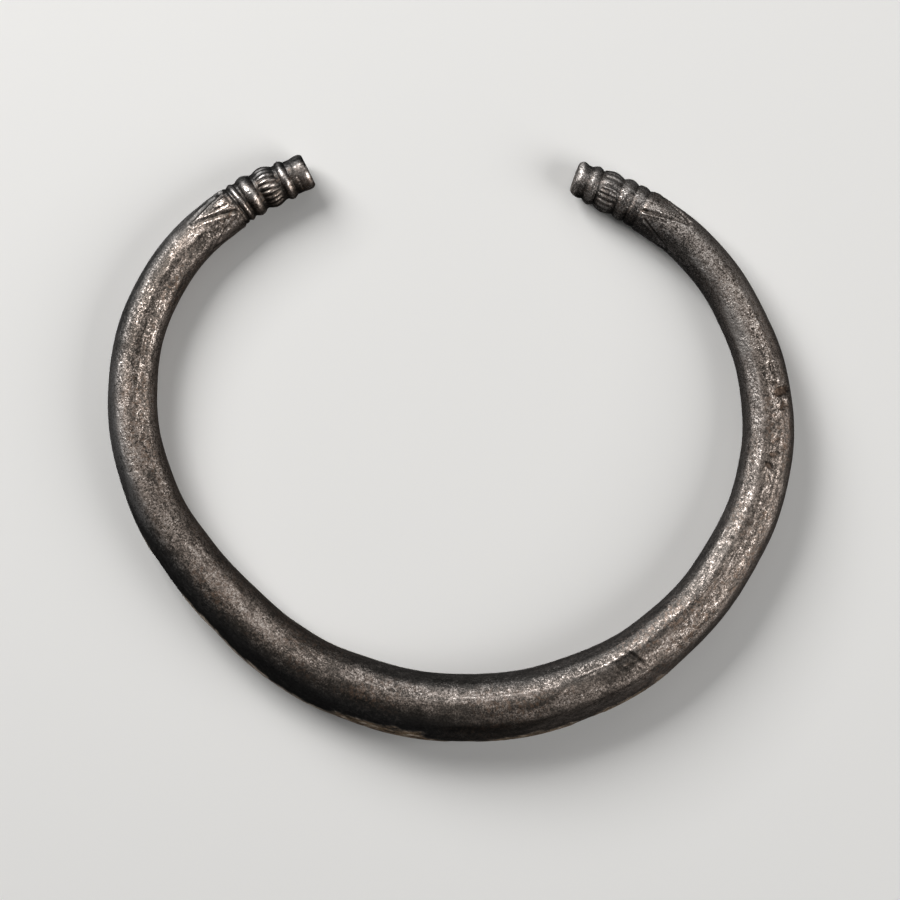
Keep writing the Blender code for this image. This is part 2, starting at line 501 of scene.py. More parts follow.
def long_facet(reach, turn, gauge, start, end, angle, depth):
    """A facet hammered along the bar: how far it goes below the round."""
    apart = aside(turn, angle, 1.0)
    plane = (gauge - depth) / most(cosine(apart), STEEPEST_FACET)
    below = soft_most(gauge - plane, 0.0, FACET_SOFTNESS)
    fades_in = ease(reach, start, start + FACET_RUN_OUT)
    fades_out = ease(reach, end - FACET_RUN_OUT, end, 1.0, 0.0)
    return below * fades_in * fades_out


def flutes(turn, distance, start, end, count, depth, wide_at):
    """Cuts the flutes of a bead. One lobe, at wide_at, is broader than the others."""
    apart = aside(turn, wide_at, 1.0)
    uneven = sum_of([sine(turn * waves + shift) * amount for waves, shift, amount in UNEVEN_FLUTES])
    widening = apart * LOBE_WIDENING / (apart * apart * LOBE_NARROWNESS + 1.0)
    lobe = size_of(cosine((apart + uneven - widening) * count * 0.5))
    across = sine(ramp(distance, start, end, 0.0, math.pi))
    return (1.0 - lobe) * (across ** 0.5) * depth


# The zigzag of each shoulder, stroke by stroke: angle at the rings and angle at the far end.
LEFT_STROKES = (
    (57, 36), (-17, 27), (-99, -67),
    (58, 96), (134, 102), (142, 192), (246, 198),
)
RIGHT_STROKES = (
    (-9, 34), (72, 40), (-105, -71),
    (80, 122), (162, 128), (170, 204), (244, 210),
)
LEFT_REACH = 4.6
RIGHT_REACH = 4.9
LEFT_STROKE = (0.31, 0.18, 0.55)  # width, depth and taper
RIGHT_STROKE = (0.27, 0.18, 0.2)

# Single cuts and cracks, and raised lines below 0: start, its angle, end, its angle, width, depth.
CUTS = (
    (9.4, -26, 13.4, -61, 0.24, 0.09),
    (9.6, 11, 11.6, 21, 0.13, 0.08),
    (9.5, 39, 11.6, 33, 0.14, 0.08),
    (9.3, 4, 10.4, 8, 0.13, -0.06),
    (10.4, 8, 12.6, 24, 0.13, -0.06),
    (166.5, -27, 162.2, -66, 0.22, 0.16),
    (165.4, 17, 161.8, 46, 0.18, 0.09),
    (60.2, -15, 62.8, -41, 0.3, 0.05),
    (87.6, -34, 87.7, -16, 0.14, -0.05),
    (140, 18, 141.4, 46, 0.12, 0.09),
    (140.5, 48, 141.7, 22, 0.12, 0.08),
    (139.6, 38, 140.9, 50, 0.1, 0.06),
    (148.3, -40, 148.4, -16, 0.09, 0.05),
    (149.2, -44, 149.1, -14, 0.1, 0.08),
    (149.8, -40, 149.7, -20, 0.08, 0.05),
    (53.2, -43, 57.6, -25, 0.1, 0.03),
    (117.9, -8, 117.6, 10, 0.16, 0.07),
    (117.6, 10, 118.1, 26, 0.14, 0.05),
    (105.8, -22, 106.5, 8, 0.32, 0.05),
    (106.7, -23, 107.4, 9, 0.32, 0.055),
    (107.7, -24, 108.4, 9, 0.38, 0.1),
    (88.5, -21, 97, -22, 0.2, -0.05),
    (101.4, -22, 109, -23, 0.22, -0.08),
)
# Dents, and lumps below 0: distance, angle, half length, half width, depth, slant, softness.
DENTS = (
    (10.1, 26, 1, 0.5, -0.08, 3, 0.3),
    (11, 20, 0.7, 0.22, 0.07, 17, 0.2),
    (104.4, 0, 1.8, 0.95, 0.05, 4, 0),
    (107.2, -8, 1.7, 1.15, 0.09, 12, 0.2),
    (125.1, -17, 0.36, 0.75, 0.12, 0, 0.2),
    (127.6, -3, 0.38, 0.45, 0.1, 0, 0.2),
    (114.1, 2, 0.34, 0.4, 0.1, 0, 0.2),
    (132.7, 8, 0.7, 0.32, 0.11, -20, 0.2),
    (133.6, -6, 0.45, 0.32, 0.1, 50, 0.2),
    (134.2, 3, 0.36, 0.6, 0.13, 12, 0.2),
    (135.5, 12, 0.38, 0.7, 0.14, -25, 0.2),
    (137.2, 13, 0.42, 0.4, 0.1, 0, 0.2),
    (139, 15, 0.5, 0.26, 0.1, 0, 0.2),
    (142.2, 38, 0.55, 1.5, 0.17, -12, 0.3),
    (140.6, 31, 0.5, 0.8, 0.1, -25, 0.2),
    (141.3, 44, 0.2, 0.85, -0.09, -32, 0.2),
    (143.5, 34, 0.45, 0.4, -0.06, 20, 0.2),
    (143.2, 11, 0.35, 0.35, 0.1, 20, 0.2),
    (145.1, 16, 0.36, 0.36, 0.1, 0, 0.2),
    (132.9, 19, 1.2, 0.22, 0.07, 6, 0.2),
    (20.3, -27, 0.3, 0.22, 0.07, 0, 0.2),
    (21.5, -14, 0.45, 0.2, 0.07, 0, 0.2),
    (24.6, -4, 0.6, 0.2, 0.07, 0, 0.2),
    (30.2, -4, 1, 0.22, 0.06, 0, 0.2),
    (34.5, -4, 0.9, 0.2, 0.05, 0, 0.2),
    (60.5, -22, 0.55, 0.25, -0.04, -18, 0.2),
    (69.3, -7, 0.45, 0.55, -0.06, -40, 0.2),
    (146.8, 10, 0.9, 0.4, 0.06, 10, 0.2),
)
# Facets hammered along the bar: start, end, angle and depth below the round.
FACETS = (
    (6, 20, 6, 0.1),
    (8, 44, 18, 0.11),
    (8, 50, -29, 0.09),
    (10, 66, 60, 0.025),
    (46, 92, -26, 0.07),
    (84, 153, -31, 0.11),
    (84, 153, -11, 0.055),
    (93, 153, 11, 0.07),
    (80, 112, 45, 0.11),
    (108, 160, 38, 0.05),
    (150, 176, -48, 0.06),
)
# Tarnish left on (below 0) or worn away (above 0), together with painted highlights (above 0) and painted
# shade (below 0) where the lights fall: distance, angle, half length, half width, amount.
TARNISH_AND_PAINTED_LIGHT = (
    # left rings
    (0.8, -26, 1.3, 2.6, 0.6), (0.8, -19, 1.2, 0.7, 0.7), (0.8, 20, 1, 0.6, -0.15),
    (0.8, 38, 1.2, 0.7, -1), (0.8, 62, 1.2, 0.7, 0.6), (1.75, 0, 0.5, 4, -0.35),
    (1.8, -8, 0.5, 1.4, 0.5), (1.8, 50, 0.5, 1.2, 1), (2.8, 6, 0.7, 1.1, 0.85),
    (3.45, -22, 0.25, 1.6, -0.5), (4.8, 20, 1, 0.6, 0.35), (4.8, 39, 1, 0.7, -0.6),
    (6, 20, 0.25, 3, 0.3), (6.8, -7, 0.7, 0.5, 0.3), (6.8, 1, 0.7, 1, 1.1),
    (6.8, 20, 0.7, 0.6, -0.3), (6.8, 35, 0.7, 0.6, -0.4), (6.8, 46, 0.7, 0.9, -0.6),
    (8.2, 0, 0.45, 4.5, 1), (8.2, 2, 0.4, 1.1, 0.5), (8.66, -34, 0.2, 1.8, -0.5),
    (9, -50, 0.3, 0.8, 0.9), (9, -33, 0.3, 0.5, -0.6), (9, -19, 0.3, 0.9, 1.1),
    (9, 22, 0.3, 0.8, -0.4),
    # left shoulder
    (10, -48, 1.5, 1.2, 0.3), (10.2, -33, 0.9, 0.6, 0.6), (10.2, 12, 1.6, 1.2, 0.25),
    (10.2, 36, 1.6, 0.8, -1.3), (10.5, 56, 2.6, 0.6, -0.5), (11.5, -52, 2.6, 0.8, 0.9),
    (11.9, 25, 1.2, 0.6, -0.6), (12, 8, 1.3, 1.4, -0.35), (12.4, 44, 3.6, 0.9, -0.5),
    (13.4, -26, 2.6, 1.2, -0.45), (13.4, 4, 3.5, 1.4, 0.6), (14, -17, 1.3, 0.7, -0.6),
    (14, 8, 1.3, 0.7, 0.5), (14, 24, 1.5, 0.8, -0.7), (14.7, 22, 1.7, 1, -0.45),
    # left side
    (17, 1, 3.5, 1, 0.4), (18, -24, 16, 2.6, -0.5), (22, -47, 5, 0.8, -0.25),
    (23, 24, 8, 2.6, -0.15), (23, 36, 10, 2, -0.65), (24, -48, 4, 0.8, 0.4),
    (24, -6, 4, 0.5, 0.85), (31, -48, 4, 0.8, -0.25), (31, -14, 11, 1.2, -0.45),
    (31, 20, 4, 1, -0.35), (38, 28, 13, 2.6, 0.35), (43, -32, 7, 1.8, -0.3),
    (44, -14, 6, 1, -0.2), (45, 37, 4.5, 0.9, 0.5), (52, -33, 5, 0.8, -0.55),
    (52, 13, 5, 1.2, 0.35), (53, -29, 10, 0.9, 0.45), (59, -33, 4, 0.8, -0.25),
    (60, -18, 9, 1.4, 0.3), (62, -25, 7, 1.3, 0.3), (66, -33, 4, 0.8, -0.35),
    (66, -15, 5, 1, 0.4), (68, 36, 6, 1.1, -0.4), (68, 50, 30, 4, -1),
    # back
    (72, -20, 8, 3, -0.25), (80, -42, 4, 1.2, -0.35), (82, -24, 12, 1.4, 0.35),
    (82, 0, 10, 2.4, -0.4), (87, -48, 4, 0.9, -0.45), (87, -12, 5, 1.1, 0.3),
    (91, 38, 7, 1, -0.5), (92, -62, 46, 1.4, -0.35), (93, -2, 9, 0.9, -0.5),
    (94, -23, 4.5, 1, 0.5), (94, 14, 4.5, 1.3, -0.35), (100, -46, 34, 1.2, -0.3),
    (101, -42, 5, 1.1, -0.35), (101, 14, 4, 1.1, 0.35), (102, -31, 8, 1, 0.2),
    (107.3, -3, 1.8, 1.4, -0.15), (108, -47, 4, 0.8, -0.4), (108, -22, 4, 1, 0.35),
    (108, -6, 4, 0.8, -0.3), (112, -33, 26, 1.9, -0.45), (112, 10, 6, 1.2, 0.25),
    # right side
    (113, -17, 9, 0.8, -0.45), (115, -47, 4, 0.8, -0.4), (115, -10, 4, 0.8, -0.25),
    (115, 20, 4, 0.8, -0.25), (121, -34, 7, 1.3, 0.2), (122, 13, 17, 1, 0.35),
    (122, 22, 4, 0.8, -0.1), (122, 36, 12, 0.9, -0.15), (126, -23, 18, 0.7, 0.15),
    (129, 20, 4, 0.7, -0.5), (132, -42, 8, 0.7, -0.3), (136, 37, 3.5, 0.8, -0.35),
    (143, -40, 4, 1.1, -0.3), (143, 20, 3, 0.7, -0.3), (144, -32, 8, 1.1, 0.5),
    (144, -2, 8, 0.8, -0.3), (148, -25, 10, 2.2, 0.4), (150, -28, 4.5, 1.2, 1.3),
    (150, 8, 4.5, 1.2, -0.2), (154, 28, 11, 2.6, 0.35), (157, -58, 5, 1.2, -0.4),
    (157, 20, 4, 0.8, -0.35),
    # right shoulder
    (161, 44, 14, 2.6, 0.75), (164, -12, 1.6, 0.9, -0.35), (164, 8, 1.5, 0.8, 0.2),
    (166, -14, 9, 2.4, -0.5), (166.2, 8, 0.9, 0.7, 1.1), (166.2, 37, 0.9, 0.7, -0.75),
    # right rings
    (168, -8, 0.7, 0.7, -0.3), (168, 20, 0.7, 0.9, 0.5), (169.4, 2, 0.8, 1.2, -0.65),
    (171.4, -45, 1.3, 1, 0.8), (171.4, 18, 1.3, 1.2, 0.35), (173.3, -46, 0.6, 0.9, 1.3),
    (173.3, 8, 0.6, 0.8, -0.5), (174.6, 32, 0.8, 1.8, 0.85), (175, 24, 1, 2.2, 0.3),
    (175.5, 18, 0.7, 2.2, 0.9),
)


HOOP_INPUTS = (
    ("Centre line", "NodeSocketObject", None),
    ("Length", "NodeSocketFloat", LENGTH),
    ("Stations", "NodeSocketInt", STATIONS),
    ("Sides", "NodeSocketInt", SIDES + 1),
    ("Groove floor", "NodeSocketFloat", 0.17),
    ("Flutes", "NodeSocketFloat", float(FLUTES)),
    ("Flute depth", "NodeSocketFloat", 0.21),
    ("Hammering", "NodeSocketFloat", 0.08),
    ("Unevenness", "NodeSocketFloat", 0.05),
    ("Pitting", "NodeSocketFloat", 0.03),
    ("Crust", "NodeSocketFloat", 0.08),
    ("Slant of right tip", "NodeSocketFloat", 0.2),
    ("Lean of right tip", "NodeSocketFloat", 0.13),
    ("Silver", "NodeSocketMaterial", None),
)


class Bar:
    """Where each point of the net lies on the straight bar, in millimetres and radians."""

    def __init__(self, tree, size):
        self.tree = tree
        self.size = size
        self.mesh, self.reach, self.turn, self.round_share = net_of_points(tree, size)
        self.up = cosine(self.turn)
        self.out = sine(self.turn)
        self.from_right = size["Length"] - self.reach
        self.past_shoulder = most(LEFT_SHOULDER - self.reach, RIGHT_SHOULDER - self.from_right)
        self.along = least(most(self.reach, 0.0), size["Length"])
        share = self.along / size["Length"]
        curve = tree.node("ShaderNodeFloatCurve", {"points": gauge_points(LENGTH)}, {"Value": share})
        self.gauge = curve * THICKEST
        self.tips = soft_least(self.reach + LEFT_TIP, self.from_right + RIGHT_TIP, CRISP)
        size_here = least(self.gauge, self.tips)
        self.place = vector(tree, self.out * size_here, self.up * size_here, self.reach)
        self.net = (self.reach, self.turn, self.gauge)
        loose_reach = self.reach + wander(self.place, LOOSE_EDGE, LOOSE_REACH)
        loose_turn = self.turn + wander(self.place + ELSEWHERE, LOOSE_EDGE, LOOSE_TURN)
        self.loose_net = (loose_reach, loose_turn, self.gauge)
        left = ease(self.reach, LEFT_SHOULDER, LEFT_SHOULDER + SHOULDER_FADE)
        right = ease(self.from_right, RIGHT_SHOULDER, RIGHT_SHOULDER + SHOULDER_FADE)
        self.on_bar = left * right
        inputs = ("Reach", "Turn", "Gauge", "At", "Angle", "Half length", "Half width", "Slant", "Softness")
        self.oval_group = group_of_terms("oval", inputs, oval)

    def grouped(self, group, values):
        """One use of a group of terms."""
        return self.tree.node("GeometryNodeGroup", {"node_tree": group}, dict(enumerate(values)))

    def oval_place(self, net, at, angle, half_length, half_width, slant=0.0, soft=0.2):
        """One oval place on the bar."""
        shape = (at, math.radians(angle), half_length, half_width, math.radians(slant), soft)
        return self.grouped(self.oval_group, (*net, *shape))

    def degrees(self, kind, amount):
        """The angle round the bar in degrees, made ragged."""
        return self.turn * math.degrees(1) + wander(self.place, kind, amount)


def stored(tree, geometry, name, value, kind="FLOAT", domain="POINT"):
    """Writes a value to the mesh under a name."""
    settings = {"data_type": kind, "domain": domain}
    sockets = {"Geometry": geometry, "Name": name, "Value": value}
    return tree.node("GeometryNodeStoreNamedAttribute", settings, sockets)


def moulded_end(bar, distance, bands, band_group, sharpness):
    """Radius of a moulded end at a distance from its tip."""
    radius = None
    for band in bands:
        turned = bar.grouped(band_group, (distance, *band))
        radius = turned if radius is None else soft_most(radius, turned, sharpness)
    return radius


def turned_profile(bar):
    """Radius of the turned bar with its rings, and the size that wear brings everything to."""
    inputs = ("Distance", "Start", "End", "Edge radius", "Middle radius")
    group = group_of_terms("turned_band", inputs, turned_band)
    left = moulded_end(bar, bar.reach - bar.out * LEFT_SKEW, LEFT_BANDS, group, CRISP)
    right = moulded_end(bar, bar.from_right + bar.out * RIGHT_SKEW, RIGHT_BANDS, group, RUBBED)
    rounding = most(bar.past_shoulder + SHOULDER_ROUND, 0.0)
    body = bar.gauge - rounding * rounding * SHOULDER_FALL
    profile = soft_most(soft_most(left, right, CRISP), body, BODY_BLEND)
    at_left = ease(bar.reach, *ACROSS_THE_BACK, 1.0, 0.0)
    left_size = ramp(bar.reach, 0.0, LEFT_SHOULDER, *LEFT_SIZE)
    right_size = ramp(bar.from_right, 0.0, RIGHT_SHOULDER, *RIGHT_SIZE)
    worn_size = least(left_size * at_left + right_size * (1.0 - at_left), bar.gauge)
    profile = soft_most(profile, worn_size - bar.size["Groove floor"], FLOOR_BLEND)
    return profile, worn_size


def shoulder_strokes(start, reach, strokes, tool):
    """The strokes of one shoulder as single cuts."""
    width, depth, taper = tool
    return [(start, at_ring, start + reach, at_far, width, depth, taper) for at_ring, at_far in strokes]


def all_cuts(bar):
    """How deep all the engraved strokes, cuts and cracks go."""
    inputs = ("Reach", "Turn", "Gauge", "Start", "Start angle", "End", "End angle", "Width", "Taper")
    group = group_of_terms("graver_stroke", inputs, graver_stroke)
    right_start = LENGTH - RIGHT_SHOULDER - STROKE_GAP
    cuts = shoulder_strokes(LEFT_SHOULDER + STROKE_GAP, LEFT_REACH, LEFT_STROKES, LEFT_STROKE)
    cuts += shoulder_strokes(right_start, -RIGHT_REACH, RIGHT_STROKES, RIGHT_STROKE)
    cuts += [(*cut, CUT_TAPER) for cut in CUTS]
    terms = []
    for start, start_angle, end, end_angle, width, depth, taper in cuts:
        stroke = (start, math.radians(start_angle), end, math.radians(end_angle), width, taper)
        terms.append(bar.grouped(group, (*bar.net, *stroke)) * depth)
    return sum_of(terms) * ease(bar.past_shoulder, *CUTS_END, 1.0, 0.0)


def both_beads(bar):
    """How deep the flutes of both beads go."""
    inputs = ("Turn", "Distance", "Start", "End", "Flutes", "Depth", "Wide at")
    group = group_of_terms("flutes", inputs, flutes)
    count = bar.size["Flutes"]
    terms = []
    for distance, (band, share, wide_at) in ((bar.reach, LEFT_BEAD), (bar.from_right, RIGHT_BEAD)):
        depth = bar.size["Flute depth"] * share
        values = (bar.turn, distance, band[0], band[1], count, depth, math.radians(wide_at))
        terms.append(bar.grouped(group, values))
    return sum_of(terms)


def all_dents(bar):
    """How deep the dents go."""
    terms = []
    for at, angle, half_length, half_width, depth, slant, soft in DENTS:
        place = bar.oval_place(bar.loose_net, at, angle, half_length, half_width, slant, soft)
        terms.append(place * depth)
    return sum_of(terms)


def all_facets(bar):
    """How deep the long facets go."""
    inputs = ("Reach", "Turn", "Gauge", "Start", "End", "Angle", "Depth")
    group = group_of_terms("long_facet", inputs, long_facet)
    deepest = None
    for start, end, angle, depth in FACETS:
        facet = bar.grouped(group, (*bar.net, start, end, math.radians(angle), depth))
        deepest = facet if deepest is None else soft_most(deepest, facet, FACET_BLEND)
    return deepest * bar.on_bar


def hammered_skin(bar):
    """How far the hammered and uneven skin of the bar stands up."""
    hammered = wander(bar.place, HAMMER_MARKS, bar.size["Hammering"])
    uneven = wander(bar.place, UNEVEN_SKIN, bar.size["Unevenness"])
    return (hammered + uneven) * (bar.on_bar * (1.0 - SKIN_ON_RINGS) + SKIN_ON_RINGS)


def grained_skin(bar, degrees):
    """Where the grain has kept: 1 there, and 0 where the silver is worn smooth."""
    inner = ramp(bar.reach, *GRAIN_INNER) + ease(bar.reach, *GRAIN_INNER_RIGHT)
    outer = sum_of([ramp(bar.reach, *part) for part in GRAIN_OUTER])
    grained = ease(degrees - inner, *GRAIN_INNER_FADE) * ease(degrees - outer, *GRAIN_OUTER_FADE)
    stripe = ease(size_of(degrees - STRIPE_ANGLE), *STRIPE_FADE) * stretch(bar.reach, *STRIPE_ZONE)
    patch = bar.oval_place(bar.net, *SMOOTH_PATCH) * SMOOTH_SHARE
    struck = bar.oval_place(bar.net, *SMOOTH_STRUCK)
    smooth = most(most(stripe, patch), struck)
    grained = grained * (1.0 - smooth) + ease(size_of(degrees), *GRAIN_UNDERNEATH)
    return most(grained, 1.0 - bar.on_bar)


def burial_crust(bar):
    """Where the crust of burial sits: along the outer lower edge at the back."""
    angle = bar.degrees(CRUST_EDGE, CRUST_RAGGED)
    broad = stretch(bar.reach, *CRUST_BROAD_ZONE)
    frayed = angle + wander(bar.place, CRUST_RAGS, CRUST_FRAYED)
    upper_edge = CRUST_UPPER_EDGE - broad * CRUST_BROADER
    low = ease(frayed - upper_edge, *CRUST_UPPER_FADE) * ease(frayed, *CRUST_LOWER_FADE)
    spotty = ease(noise(bar.place, CRUST_SPOTS), *CRUST_SPOT_FADE)
    bits = sum_of([stretch(bar.reach, *zone) for zone in CRUST_BIT_ZONES])
    return low * stretch(bar.reach, *CRUST_ZONE) * most(spotty, broad + bits * CRUST_BIT_SHARE)


def tarnish_and_painted_light_patches(bar, facets, degrees):
    """How much darker or brighter the silver is than the rest, by its own patches of tarnish and wear and
    by patches of painted highlight and painted shade.
    """
    ridges = ease(facets, *RIDGE_FADE) * ease(size_of(degrees - RIDGE_ANGLE), *RIDGE_SIDES)
    patches = [ridges * ease(bar.reach, *RIDGES_FROM) * bar.on_bar]
    for at, angle, half_length, half_width, amount in TARNISH_AND_PAINTED_LIGHT:
        patches.append(bar.oval_place(bar.loose_net, at, angle, half_length, half_width) * amount)
    return sum_of(patches)


def bent_place(bar, radius):
    """Where a point goes when the bar is bent round its centre line."""
    tree = bar.tree
    line = tree.node("GeometryNodeObjectInfo", {}, {"Object": bar.size["Centre line"]}, "Geometry")
    sockets = {"Curves": line, "Length": bar.along * MM}
    bend = ("Position", "Tangent")
    middle_place, tangent = tree.node("GeometryNodeSampleCurve", {"mode": "LENGTH"}, sockets, bend)
    tx, ty = tree.node("ShaderNodeSeparateXYZ", {}, {"Vector": tangent}, ("X", "Y"))
    outward = vector(tree, ty, -tx, 0.0)
    upward = vector(tree, 0.0, 0.0, bar.up)
    slope = bar.out * bar.size["Slant of right tip"] - bar.up * bar.size["Lean of right tip"]
    slanted = ease(bar.from_right, *SLANT_FADE) * slope * (radius / RIGHT_TIP)
    face = wander(bar.place, FACE_MARKS, FACE_DEPTH)
    ends = ease(bar.reach, *TIP_FACE, -1.0, 0.0) + ease(bar.from_right, *TIP_FACE, 1.0, 0.0)
    dome = most(1.0 - (radius / DOME_RADIUS) ** 2.0, 0.0)
    push = slanted + ends * (face + dome * DOME_HEIGHT - DOME_HEIGHT)
    return middle_place + (bar.out * outward + upward) * (radius * MM) + tangent * (push * MM)


def unrolled_place(bar):
    """The bar's skin laid flat, in rows one above the other, for its own UV map."""
    row_length = (LENGTH + LEFT_TIP + RIGHT_TIP) / UV_ROWS
    run = (bar.reach + LEFT_TIP) / row_length
    settings = {"data_type": "FLOAT", "domain": "FACE"}
    face_run = bar.tree.node("GeometryNodeFieldOnDomain", settings, {"Value": run})
    row = least(bar.tree.math("FLOOR", face_run), UV_ROWS - 1.0)
    u = (run - row) * (1 - 2 * UV_EDGE) + UV_EDGE
    v = (bar.round_share * (1 - 2 * UV_EDGE) + UV_EDGE + row) / UV_ROWS
    return vector(bar.tree, u, v, 0.0)


def hoop_nodes():
    """The tree that makes the whole hoop."""
    group = bpy.data.node_groups.new("worked_silver_hoop", "GeometryNodeTree")
    for name, kind, value in HOOP_INPUTS:
        socket = group.interface.new_socket(name=name, in_out="INPUT", socket_type=kind)
        if value is not None:
            socket.default_value = value
    group.interface.new_socket(name="Hoop", in_out="OUTPUT", socket_type="NodeSocketGeometry")
    tree = Tree(group)
    names = tuple(name for name, kind, value in HOOP_INPUTS)
    size = dict(zip(names, tree.node("NodeGroupInput", {}, {}, names)))
    bar = Bar(tree, size)

    # the turned bar, and what is cut and worn away from it
    profile, worn_size = turned_profile(bar)
    cut = all_cuts(bar) + both_beads(bar)
    dented = all_dents(bar)
    pits = ease(noise(bar.place, PITS), *PIT_FADE) * size["Pitting"]
    facets = all_facets(bar)
    degrees = bar.degrees(GRAIN_EDGE, GRAIN_RAGGED)
    crust = burial_crust(bar)
    lumps = wander(bar.place, RING_LUMPS, size["Unevenness"]) * (1.0 - bar.on_bar) * LUMPS_ON_RINGS
    crusty = crust * (noise(bar.place, CRUST_GRAIN) + 0.5) * size["Crust"]
    turned = soft_least(profile, bar.tips, TIP_ROUNDING)
    radius = turned - cut - dented - pits + hammered_skin(bar) - facets + lumps + crusty
    radius = most(least(radius, bar.tips), 0.0)
    relief = least(profile - worn_size, RING_RELIEF - bar.on_bar * (RING_RELIEF - BAR_RELIEF))
    relief = relief - cut - dented - pits

    # what the finish needs to know
    mesh = stored(tree, bar.mesh, "OFBake", unrolled_place(bar), "FLOAT2", "CORNER")
    mesh = stored(tree, mesh, "bar_place", bar.place, "FLOAT_VECTOR")
    mesh = stored(tree, mesh, "relief", relief)
    mesh = stored(tree, mesh, "cut", cut)
    mesh = stored(tree, mesh, "crust", crust)
    mesh = stored(tree, mesh, "grained", grained_skin(bar, degrees))
    # patches of tarnish and wear, with painted highlights and painted shade among them
    mesh = stored(tree, mesh, "tarnish", tarnish_and_painted_light_patches(bar, facets, degrees))

    # bent, laid down and rubbed flat where it rests
    mesh = tree.node("GeometryNodeSetPosition", {}, {"Geometry": mesh, "Position": bent_place(bar, radius)})
    laid_down = tuple(step * MM for step in LAID_DOWN)
    sockets = {"Geometry": mesh, "Translation": laid_down, "Rotation": (-TILT, 0.0, 0.0)}
    mesh = tree.node("GeometryNodeTransform", {}, sockets)
    position = tree.node("GeometryNodeInputPosition")
    rested = tree.math("MAXIMUM", position, TABLE_TOP)
    mesh = tree.node("GeometryNodeSetPosition", {}, {"Geometry": mesh, "Position": rested})
    mesh = tree.node("GeometryNodeMergeByDistance", {}, {"Geometry": mesh, "Distance": SAME_POINT * MM})
    mesh = tree.node("GeometryNodeFlipFaces", {}, {"Mesh": mesh})
    mesh = tree.node("GeometryNodeSetShadeSmooth", {}, {"Geometry": mesh})
    mesh = tree.node("GeometryNodeRealizeInstances", {}, {"Geometry": mesh})
    mesh = tree.node("GeometryNodeSetMaterial", {}, {"Geometry": mesh, "Material": size["Silver"]})
    tree.node("NodeGroupOutput", {}, {"Hoop": mesh})
    return group


def put_in_scene(thing):
    bpy.context.scene.collection.objects.link(thing)


def centre_line():
    """The line that the bar is bent round."""
    line = bpy.data.curves.new("centre_line", "CURVE")
    line.dimensions = "2D"
    line.resolution_u = LINE_STEPS
    spline = line.splines.new("BEZIER")
    spline.bezier_points.add(len(CENTRE_LINE) - 1)
    for point, (x, y) in zip(spline.bezier_points, CENTRE_LINE):
        point.co = (x * MM, y * MM, 0)
        point.handle_left_type = "AUTO"
        point.handle_right_type = "AUTO"
    guide = bpy.data.objects.new("centre_line", line)
    put_in_scene(guide)
    return guide


def made_by_nodes(name, group, values):
    """A plain mesh object made by a tree of geometry nodes."""
    carrier = bpy.data.objects.new(name, bpy.data.meshes.new(name))
    put_in_scene(carrier)
    modifier = carrier.modifiers.new("make", "NODES")
    modifier.node_group = group
    for item in group.interface.items_tree:
        if item.in_out == "INPUT" and item.name in values:
            modifier[item.identifier] = values[item.name]
    graph = bpy.context.evaluated_depsgraph_get()
    mesh = bpy.data.meshes.new_from_object(carrier.evaluated_get(graph))
    carrier.modifiers.remove(modifier)
    carrier.data = mesh
    mesh.name = name
    return carrier


# --- The silver ------------------------------------------------------------------------------
# Tones of the silver from the blackest tarnish to bare worn metal, for shares from 0 to 1.
TARNISH_TONES = (
    (0.00, (0.022, 0.020, 0.018)),
    (0.12, (0.116, 0.099, 0.085)),
    (0.35, (0.37, 0.305, 0.262)),
    (0.65, (0.67, 0.57, 0.505)),
    (1.00, (0.97, 0.87, 0.79)),
)
USUAL_SHARE = 0.166  # of bare metal, where the tone is 0
WARM_BROWN = (0.24, 0.15, 0.10)
OLIVE_CRUST = (0.05, 0.032, 0.016)
TAN_CRUST = (0.22, 0.145, 0.08)
PALE_CRUST = (0.58, 0.49, 0.40)

# The etched grain, from fine dust to blotches: noise, and how much it changes tone and height.
GRAIN = (
    ((1.0, 6.0, 1.0, 0.6), 0.58, 0.3),
    ((0.85, 3.4, 2.0, 0.6), 0.38, 0.8),
    ((0.55, 1.6, 2.0, 0.55), 0.32, 0.6),
)
# The other noises of the finish, and how much they change the tone and the height.
FINE_ETCHING = (1, 9, 1, 0.6)
DRAWN_MARKS = (0.1, 2.6, 2, 0.6)
CLOUDS = (0.4, 0.25, 2, 0.5)
PATCHES = (0.5, 0.75, 3, 0.65)
SPECKS = (1, 2.4, 3, 0.7)
FLAKES = (0.3, 2.6, 4, 0.75)
FINE_TONE = 0.7
DRAWN_TONE = 0.10
CLOUD_TONE = 0.06
PATCH_TONE = 0.3
DRAWN_HEIGHT = 0.25
CRUST_HEIGHT = 2.0
HEIGHT_UNIT = 0.05 * MM
NOISE_SPREAD = 0.12  # one standard deviation of noise from 0 to 1

# Where the finish changes: start and end of each change and, where they are not 0 and 1, its
# values there. Those along the bar are in mm from the left tip.
LEFT_RINGS = (9.4, 8.8)
RIGHT_RINGS = (167, 167.6)
# the right tip's rim: worn, and painted brighter as a highlight
RIM_WEAR_AND_HIGHLIGHT = (174.8, 175.3)
GRAIN_BY_ZONE = (0, 1, 0.38, 1)
GRAIN_BY_PATCH = (0.3, 0.7, 0.6, 1.3)
GRAIN_TO_RIGHT = (126, 160, 1, 1.6)
GRAIN_ON_RIGHT_RINGS = (165, 167.5, 1, 0.6)
GRAIN_IN_CUTS = (0.03, 0.1, 1, 0.45)
GRAIN_OFF_LEFT_RINGS = 0.25
COARSE_ZONE = ((16, 26), (48, 60))
COARSER = 0.15
PATCHES_BY_ZONE = (0, 1, 0.3, 1)
FINE_TO_RIGHT = (128, 160)
HOLLOWS = (-0.14, 0, -0.7, 0)
HOLLOWS_OF_LEFT_RINGS = 0.2
ENGRAVED = (0.05, 0.18)
RAISED = ((0, 0.06, 0, 0.5), (0.06, 0.11, 0, 0.6))
RIM_HIGHLIGHT_TONE = 0.5
RIGHT_RINGS_TONE = -0.1
TONES_ALONG = ((1.6, 1, 0, 0.4), (40, 60, 0, -0.25), (105, 150, 0, 0.15))
